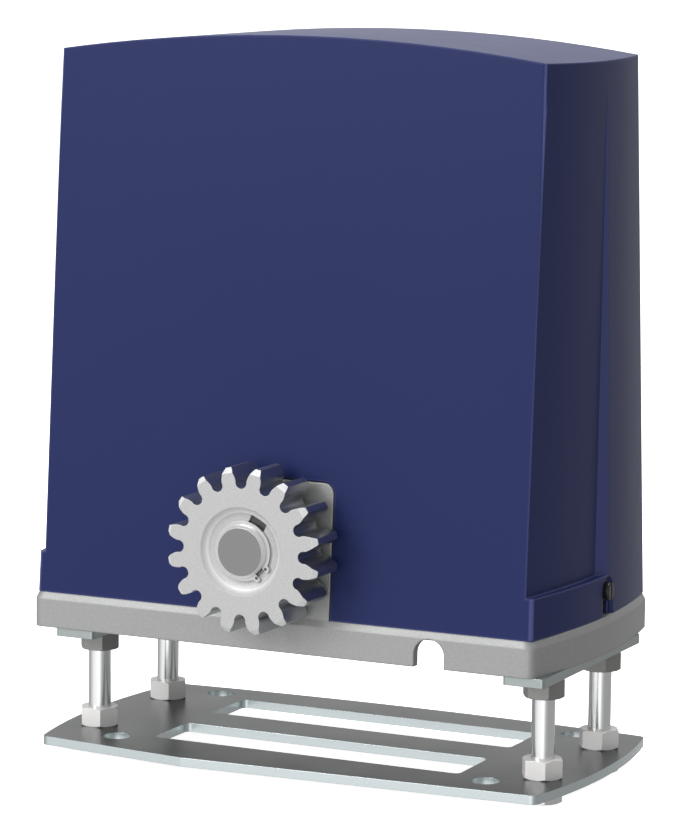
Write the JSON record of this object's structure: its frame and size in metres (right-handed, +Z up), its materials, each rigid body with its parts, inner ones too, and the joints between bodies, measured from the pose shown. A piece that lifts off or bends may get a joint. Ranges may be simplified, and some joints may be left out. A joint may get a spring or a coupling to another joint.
{
  "type": "sliding gate motor",
  "caption": "Upright gate motor in a blue cover on an adjustable foundation plate, with a worm gear drive and a spur pinion on its side for the gate rack",
  "frame": {"origin": "centre of the four anchor holes, on the underside of the foundation plate", "axes": "+X along the gate, to the right seen from the gate; -Y towards the gate and its rack; +Z up"},
  "size_m": [0.2577, 0.1568, 0.3204],
  "materials": {
    "zinc_plate": "zinc-plated sheet steel, dull",
    "zinc_bright": "bright zinc",
    "zinc_dull": "dull zinc",
    "zinc_bar": "zinc-plated strip",
    "cast_grey": "die cast, fine textured",
    "bearing_steel": "ground",
    "seal_rubber": "matt",
    "cast_bare": "die cast, bare",
    "black_screws": "blackened steel",
    "shaft_steel": "turned",
    "key_steel": "drawn key steel",
    "pinion_steel": "zinc, satin",
    "spring_steel": "oiled spring steel",
    "bronze": "machined bronze",
    "cast_iron_grey": "machined cast iron",
    "lamination": "laminated",
    "copper": "enamelled copper wire",
    "motor_paint": "ribbed, satin",
    "bracket_zinc": "folded zinc sheet",
    "board_green": "solder mask",
    "brass_standoff": "turned brass",
    "relay_blue": "moulded",
    "terminal_green": "moulded",
    "fuse_glass": "glass tube in clips",
    "chip_black": "moulded epoxy",
    "button_black": "moulded",
    "button_steel": "pressed",
    "capacitor_white": "moulded case",
    "tape_yellow": "taped coil",
    "release_black": "fine textured",
    "lever_grey": "moulded",
    "lock_chrome": "plated",
    "sensor_black": "moulded",
    "cover_blue": "moulded, dark blue, satin"
  },
  "bodies": {
    "base": {"foundation_plate": "zinc_plate", "foundation_bolts": "zinc_bright", "plate_lock_nuts": "zinc_bright", "height_nuts": "zinc_dull", "clamp_bar_left": "zinc_bar", "clamp_bar_right": "zinc_bar", "clamp_screws": "zinc_bright", "clamp_washers": "zinc_bright", "base_casting": "cast_grey", "front_bearing": "bearing_steel", "rear_bearing": "bearing_steel", "worm_bearing": "bearing_steel", "motor_bearing": "bearing_steel", "end_bearing": "bearing_steel", "shaft_seal": "seal_rubber", "gearcase_cover": "cast_bare", "gearcase_screws": "black_screws", "stator_core": "lamination", "windings": "copper", "motor_flange": "cast_bare", "motor_shell": "motor_paint", "motor_end_shield": "cast_bare", "flange_screws": "black_screws", "board_bracket": "bracket_zinc", "bracket_screws": "black_screws", "control_board": "board_green", "board_standoffs": "brass_standoff", "board_screws": "zinc_bright", "relays": "relay_blue", "terminal_blocks": "terminal_green", "fuse_holder": "fuse_glass", "controller_chip": "chip_black", "button_frames": "button_steel", "run_capacitor": "capacitor_white", "capacitor_clip": "bracket_zinc", "transformer_core": "lamination", "transformer_winding": "tape_yellow", "cable_grommet": "seal_rubber", "release_housing": "release_black", "lever_pin": "shaft_steel", "limit_sensor": "sensor_black", "cover_screws": "black_screws"},
    "output": {"output_shaft": "shaft_steel", "pinion": "pinion_steel", "pinion_key": "key_steel", "retaining_ring": "spring_steel", "worm_wheel_rim": "bronze", "worm_wheel_hub": "cast_iron_grey", "wheel_key": "key_steel", "wheel_spacer": "shaft_steel"},
    "rotor": {"worm_shaft": "shaft_steel", "rotor_core": "lamination"},
    "cover": {"cover_shell": "cover_blue"},
    "lever": {"release_lever": "lever_grey"},
    "key": {"key_barrel": "lock_chrome"},
    "rod": {"release_rod": "shaft_steel"},
    "button_1": {"program_button_1": "button_black"},
    "button_2": {"program_button_2": "button_black"},
    "button_3": {"program_button_3": "button_black"}
  },
  "joints": [
    {"name": "output_spin", "type": "hinge", "parent": "base", "child": "output", "pos_m": [-0.0126, -0.06, 0.0978], "axis": [0, 1, 0], "continuous": true},
    {"name": "rotor_spin", "type": "hinge", "parent": "base", "child": "rotor", "pos_m": [0.0349, 0.003, 0.0978], "axis": [0, 0, 1], "continuous": true},
    {"name": "cover_lift", "type": "slide", "parent": "base", "child": "cover", "axis": [0, 0, 1], "range_m": [0, 0.3]},
    {"name": "release_lever_turn", "type": "hinge", "parent": "base", "child": "lever", "pos_m": [-0.0403, 0.0685, 0.0978], "axis": [0, 0, 1], "range_deg": [0, 90]},
    {"name": "key_turn", "type": "hinge", "parent": "lever", "child": "key", "pos_m": [0.0106, 0.069, 0.0978], "axis": [0, 1, 0], "range_deg": [0, 90]},
    {"name": "release_rod_slide", "type": "slide", "parent": "base", "child": "rod", "axis": [0, 1, 0], "range_m": [0, 0.005]},
    {"name": "program_button_1_press", "type": "slide", "parent": "base", "child": "button_1", "axis": [0, -1, 0], "range_m": [0, 0.0005], "stiffness_N_per_m": 300},
    {"name": "program_button_2_press", "type": "slide", "parent": "base", "child": "button_2", "axis": [0, -1, 0], "range_m": [0, 0.0005], "stiffness_N_per_m": 300},
    {"name": "program_button_3_press", "type": "slide", "parent": "base", "child": "button_3", "axis": [0, -1, 0], "range_m": [0, 0.0005], "stiffness_N_per_m": 300}
  ],
  "couplings": [
    {"joint": "rotor_spin", "follows": "output_spin", "ratio": 30},
    {"joint": "release_rod_slide", "follows": "release_lever_turn", "m_per_rad": 0.0031831}
  ]
}
